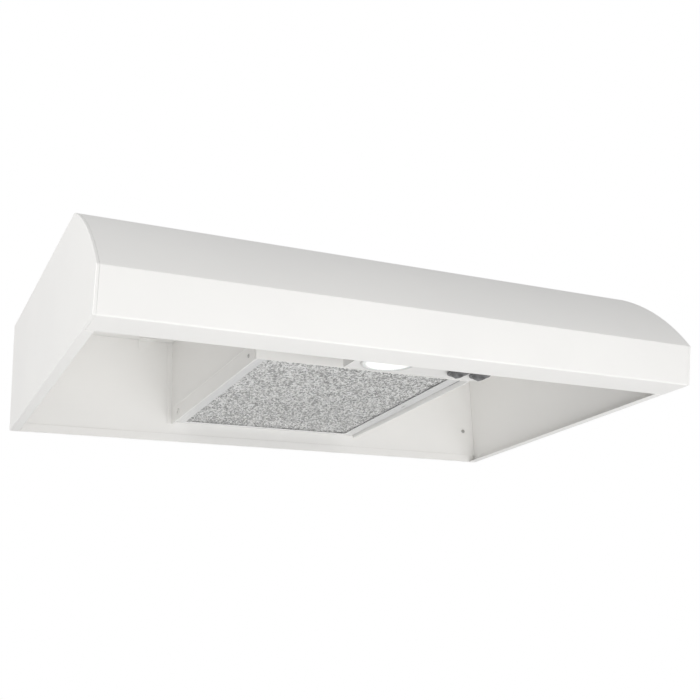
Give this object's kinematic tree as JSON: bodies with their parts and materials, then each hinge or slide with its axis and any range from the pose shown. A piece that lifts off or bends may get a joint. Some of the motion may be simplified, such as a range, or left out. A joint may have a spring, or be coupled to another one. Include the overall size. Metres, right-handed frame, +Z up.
{
  "type": "under cabinet range hood",
  "caption": "White sheet-metal range hood with a curved front, open canopy, central mesh filter, fan, round lamp, rotary controls and a top duct collar with damper.",
  "frame": {"origin": "under the middle of the canopy, level with its bottom rim", "axes": "+X along the width to the right, +Y back to the wall, +Z up"},
  "size_m": [0.7588, 0.508, 0.1844],
  "materials": {
    "white_coat": "satin powder coat",
    "filter_rim": "mill finish",
    "filter_mesh": "expanded foil mesh",
    "zinc_plate": "galvanised",
    "screw_steel": "zinc plated",
    "spring_steel": "tempered strip",
    "fan_aluminium": "satin",
    "motor_paint": "black enamel",
    "core_steel": "laminated steel",
    "knob_plastic": "fine matt moulding",
    "switch_plastic": "moulded",
    "shaft_nylon": "natural nylon",
    "grommet_rubber": "matt",
    "lead_jacket": "fibreglass sleeve",
    "lens_diffuser": "opal diffuser",
    "bezel_grey": "satin",
    "reflector_aluminium": "bright spun",
    "holder_ceramic": "glazed ceramic",
    "bulb_glass": "frosted"
  },
  "bodies": {
    "hood": {"back_panel": "white_coat", "back_screws": "screw_steel", "bracket_screws": "screw_steel", "catch_rivets": "screw_steel", "collar_screws": "screw_steel", "control_panel": "white_coat", "damper_rod": "screw_steel", "deck_cleats": "white_coat", "duct_collar": "zinc_plate", "fan_switch": "switch_plastic", "filter_catches": "spring_steel", "filter_pivot_bushes": "shaft_nylon", "front_panel": "white_coat", "harness_clips": "shaft_nylon", "harness_grommets": "grommet_rubber", "lamp_bulb": "bulb_glass", "lamp_lead": "lead_jacket", "lamp_lens": "lens_diffuser", "lamp_reflector": "reflector_aluminium", "lampholder": "holder_ceramic", "left_end_panel": "white_coat", "left_filter_rail": "white_coat", "left_partition": "white_coat", "lens_bezel": "bezel_grey", "light_switch": "switch_plastic", "motor_bracket": "zinc_plate", "motor_can": "motor_paint", "motor_end_cap": "motor_paint", "motor_lead": "lead_jacket", "motor_screws": "screw_steel", "motor_stator": "core_steel", "panel_straps": "white_coat", "plenum_front_wall": "white_coat", "right_end_panel": "white_coat", "right_filter_rail": "white_coat", "right_partition": "white_coat", "supply_lead": "lead_jacket", "switch_nuts": "screw_steel", "terminal_block": "switch_plastic", "top_deck": "white_coat", "wiring_box": "zinc_plate", "wiring_cover": "zinc_plate", "wiring_screws": "screw_steel"},
    "filter": {"filter_frame": "filter_rim", "filter_mesh_lower": "filter_mesh", "filter_mesh_core": "filter_mesh", "filter_mesh_upper": "filter_mesh", "filter_pivot_pins": "screw_steel"},
    "fan": {"fan_blade": "fan_aluminium", "motor_shaft": "screw_steel", "motor_rotor": "core_steel", "blade_nut": "screw_steel"},
    "fan_control": {"fan_knob": "knob_plastic", "fan_switch_shaft": "shaft_nylon"},
    "light_control": {"light_knob": "knob_plastic", "light_switch_shaft": "shaft_nylon"},
    "damper_rear": {"damper_flap_rear": "zinc_plate"},
    "damper_front": {"damper_flap_front": "zinc_plate"}
  },
  "joints": [
    {"name": "filter_swing", "type": "hinge", "parent": "hood", "child": "filter", "pos_m": [0, 0.2175, 0.037], "axis": [1, 0, 0], "range_deg": [0, 75]},
    {"name": "fan_spin", "type": "hinge", "parent": "hood", "child": "fan", "pos_m": [0, 0.0815, 0.1], "axis": [0, 0, 1], "continuous": true},
    {"name": "fan_knob_turn", "type": "hinge", "parent": "hood", "child": "fan_control", "pos_m": [0.0885, -0.156, 0.01], "axis": [0, 0, 1], "range_deg": [0, 135]},
    {"name": "light_knob_turn", "type": "hinge", "parent": "hood", "child": "light_control", "pos_m": [0.1205, -0.156, 0.01], "axis": [0, 0, 1], "range_deg": [0, 90]},
    {"name": "damper_rear_flap", "type": "hinge", "parent": "hood", "child": "damper_rear", "pos_m": [0, 0.0815, 0.172], "axis": [1, 0, 0], "range_deg": [0, 80]},
    {"name": "damper_front_flap", "type": "hinge", "parent": "hood", "child": "damper_front", "pos_m": [0, 0.0815, 0.172], "axis": [-1, 0, 0], "range_deg": [0, 80]}
  ]
}
